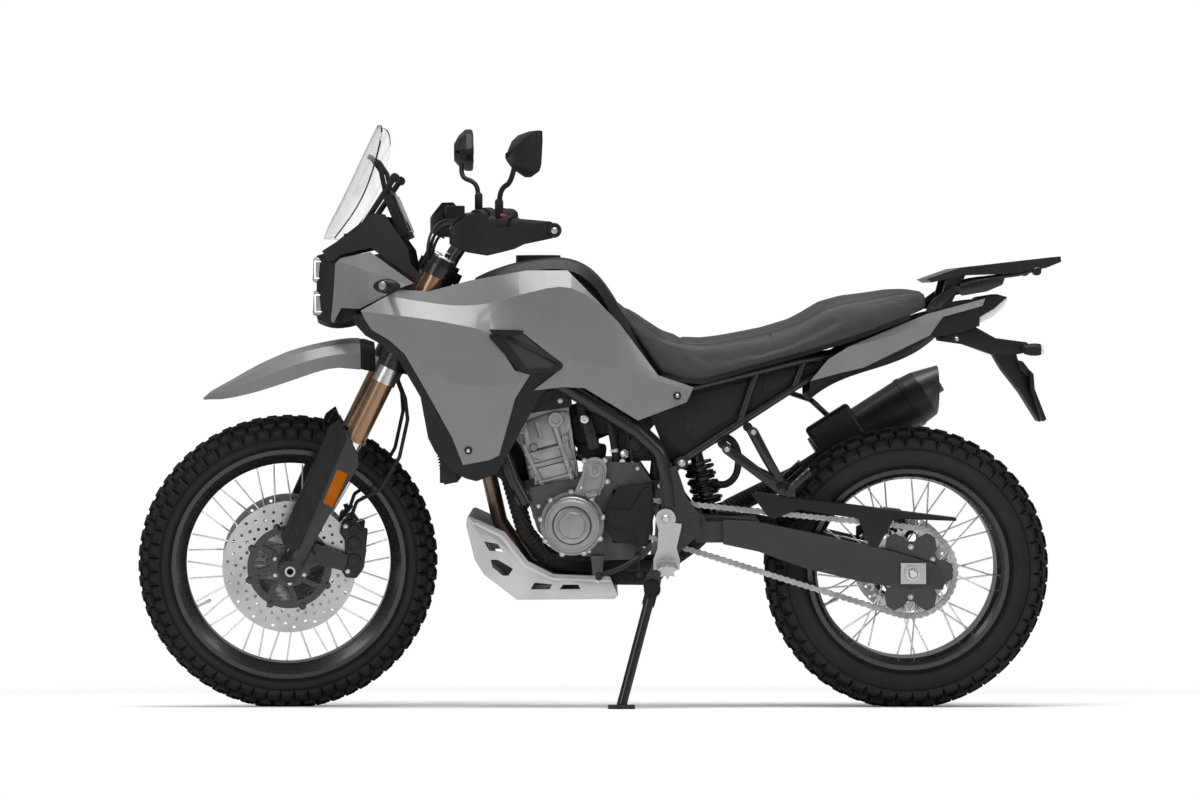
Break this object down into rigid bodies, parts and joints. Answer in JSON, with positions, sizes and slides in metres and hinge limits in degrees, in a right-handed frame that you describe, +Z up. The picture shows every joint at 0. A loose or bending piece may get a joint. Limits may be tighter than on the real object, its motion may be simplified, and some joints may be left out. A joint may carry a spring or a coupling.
{
  "type": "adventure motorcycle",
  "caption": "Twin-cylinder adventure motorcycle on wire-spoked wheels, parked leaning on its side stand, with screen, handguards and rear luggage rack.",
  "frame": {"origin": "middle of the outline on the floor, under the motorcycle as it stands on its side stand", "axes": "+X to the rear along the wheelbase, -Y to the rider's left, the side it leans to, +Z up"},
  "size_m": [2.2131, 0.9106, 1.4629],
  "materials": {
    "black_frame": "satin",
    "black_plastic": "textured",
    "grey_panel": "semi-gloss",
    "engine_alloy": "cast, satin",
    "plate_alloy": "brushed",
    "steel": "brushed",
    "fork_gold": "anodised bronze",
    "chrome": "polished",
    "tyre": "matt",
    "rim_black": "gloss black",
    "rubber": "matt",
    "clear": "clear",
    "seat_cover": "grained",
    "wrap": "wound wrap",
    "lamp_clear": "clear"
  },
  "bodies": {
    "chassis": {"main_frame": "black_frame", "subframe": "black_frame", "engine_crankcase": "engine_alloy", "engine_covers": "engine_alloy", "engine_cylinders": "engine_alloy", "air_box": "black_plastic", "radiator": "black_frame", "exhaust_header": "wrap", "muffler": "rim_black", "skid_plate": "plate_alloy", "side_fairings": "grey_panel", "fairing_inner_panels": "black_plastic", "fuel_tank": "black_plastic", "headlight_cowl": "grey_panel", "headlight_housing": "black_plastic", "headlamps": "lamp_clear", "windscreen": "clear", "instrument_panel": "black_plastic", "front_indicators": "black_plastic", "seat": "seat_cover", "tail_panels": "grey_panel", "tail_underbody": "black_plastic", "tail_lamp": "lamp_clear", "luggage_rack": "black_frame", "plate_holder": "black_plastic", "swingarm": "black_frame", "rear_axle": "steel", "drive_chain": "steel", "chain_guard": "black_plastic", "shock_absorber": "black_frame", "side_covers": "black_plastic", "rider_footrests": "plate_alloy", "passenger_footrests": "black_frame", "rear_caliper": "black_frame"},
    "steering": {"fork_outer_tubes": "fork_gold", "fork_inner_tubes": "chrome", "fork_bottoms": "black_frame", "fork_guards": "black_plastic", "front_axle": "steel", "triple_clamps": "black_frame", "handlebar": "black_frame", "hand_controls": "rubber", "brake_hoses": "rubber", "handguards": "black_plastic", "mirrors": "black_plastic", "front_calipers": "black_frame", "front_fender": "grey_panel"},
    "front_wheel": {"front_tyre": "tyre", "front_rim": "rim_black", "front_spokes": "chrome", "front_hub": "rim_black", "front_discs": "steel", "front_disc_carriers": "rim_black"},
    "rear_wheel": {"rear_tyre": "tyre", "rear_rim": "rim_black", "rear_spokes": "chrome", "rear_hub": "rim_black", "rear_sprocket": "steel", "rear_disc": "steel"},
    "side_stand": {"side_stand": "black_frame"}
  },
  "joints": [
    {"name": "steering_turn", "type": "hinge", "parent": "chassis", "child": "steering", "pos_m": [-0.47896, 0.04024, 0.80652], "axis": [0.4445, -0.1246, 0.8871], "range_deg": [-45, 27]},
    {"name": "front_wheel_spin", "type": "hinge", "parent": "steering", "child": "front_wheel", "pos_m": [-0.75362, 0.09783, 0.34933], "axis": [-0.1404, 0.9684, 0.2063], "continuous": true},
    {"name": "rear_wheel_spin", "type": "hinge", "parent": "chassis", "child": "rear_wheel", "pos_m": [0.74594, 0.10649, 0.33749], "axis": [-0.0003, 0.9903, 0.1392], "continuous": true},
    {"name": "side_stand_fold", "type": "hinge", "parent": "chassis", "child": "side_stand", "pos_m": [0.12605, -0.03916, 0.28049], "axis": [-0.0003, -0.9885, 0.1513], "range_deg": [0, 112]}
  ]
}
